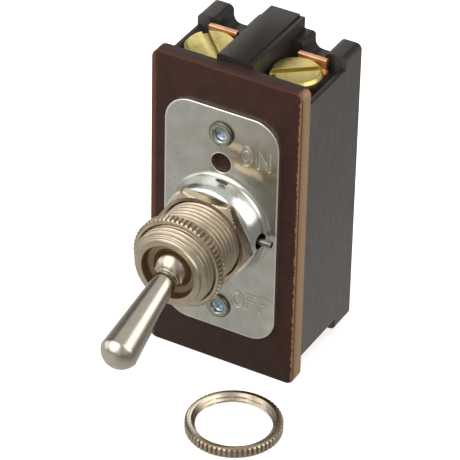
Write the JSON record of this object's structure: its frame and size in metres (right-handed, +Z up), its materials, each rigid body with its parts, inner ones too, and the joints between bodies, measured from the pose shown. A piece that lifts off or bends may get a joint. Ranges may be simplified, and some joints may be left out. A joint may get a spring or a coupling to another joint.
{
  "type": "panel toggle switch",
  "caption": "Double-pole on/off toggle switch with bat lever, threaded bushing, knurled nuts, steel and laminate plates, and screw terminals in a black moulded housing.",
  "frame": {"origin": "where the bushing's axis meets the front face of the hex nut, the plane that a panel's back seats on", "axes": "+Z up, towards the ON end; -Y out of the panel, the way the lever points; +X to the right seen from the lever's side"},
  "size_m": [0.0284, 0.0478, 0.05],
  "materials": {
    "laminate": "brown phenolic laminate, satin",
    "zinc_steel": "bright zinc plating on pressed steel",
    "nickel": "nickel plating on turned brass",
    "rivet_steel": "blue zinc plating",
    "phenolic_black": "semi-gloss black moulding",
    "phenolic_brown": "brown moulded phenolic",
    "brass": "plain turned brass",
    "copper": "plain copper strip",
    "silver": "silver contact metal",
    "spring_steel": "bright spring steel"
  },
  "bodies": {
    "switch": {"front_plate": "laminate", "mounting_plate": "zinc_steel", "bushing": "nickel", "spare_ring_nut": "nickel", "pivot_pin": "spring_steel", "rivet_top": "rivet_steel", "rivet_bottom": "rivet_steel", "housing": "phenolic_black", "terminal_screw_top_left": "brass", "terminal_screw_top_right": "brass", "terminal_screw_bottom_left": "brass", "terminal_screw_bottom_right": "brass", "terminal_strap_top_left": "copper", "terminal_strap_top_right": "copper", "terminal_strap_bottom_left": "copper", "terminal_strap_bottom_right": "copper", "fixed_contact_top_left": "silver", "fixed_contact_top_right": "silver", "fixed_contact_bottom_left": "silver", "fixed_contact_bottom_right": "silver", "detent_spring": "spring_steel"},
    "lever": {"toggle_lever": "nickel"},
    "carrier": {"contact_carrier": "phenolic_brown", "bridge_bar_left": "copper", "bridge_spring_left": "spring_steel", "bridge_bar_right": "copper", "bridge_spring_right": "spring_steel", "bridge_contact_left_inner": "silver", "bridge_contact_left_outer": "silver", "bridge_contact_right_inner": "silver", "bridge_contact_right_outer": "silver"},
    "ring_nut": {"ring_nut": "nickel"},
    "hex_nut": {"hex_nut": "nickel"}
  },
  "joints": [
    {"name": "lever_throw", "type": "hinge", "parent": "switch", "child": "lever", "pos_m": [0, -0.00682, 0], "axis": [-1, 0, 0], "range_deg": [0, 39.6]},
    {"name": "carrier_rock", "type": "hinge", "parent": "switch", "child": "carrier", "pos_m": [0, 0.00398, 0], "axis": [1, 0, 0], "range_deg": [0, 43.06]},
    {"name": "ring_nut_turn", "type": "hinge", "parent": "switch", "child": "ring_nut", "pos_m": [0, -0.0059, 0], "axis": [0, -1, 0], "continuous": true},
    {"name": "hex_nut_turn", "type": "hinge", "parent": "switch", "child": "hex_nut", "pos_m": [0, 0.00073, 0], "axis": [0, -1, 0], "continuous": true}
  ],
  "couplings": [
    {"joint": "carrier_rock", "follows": "lever_throw", "ratio": 1.087}
  ]
}
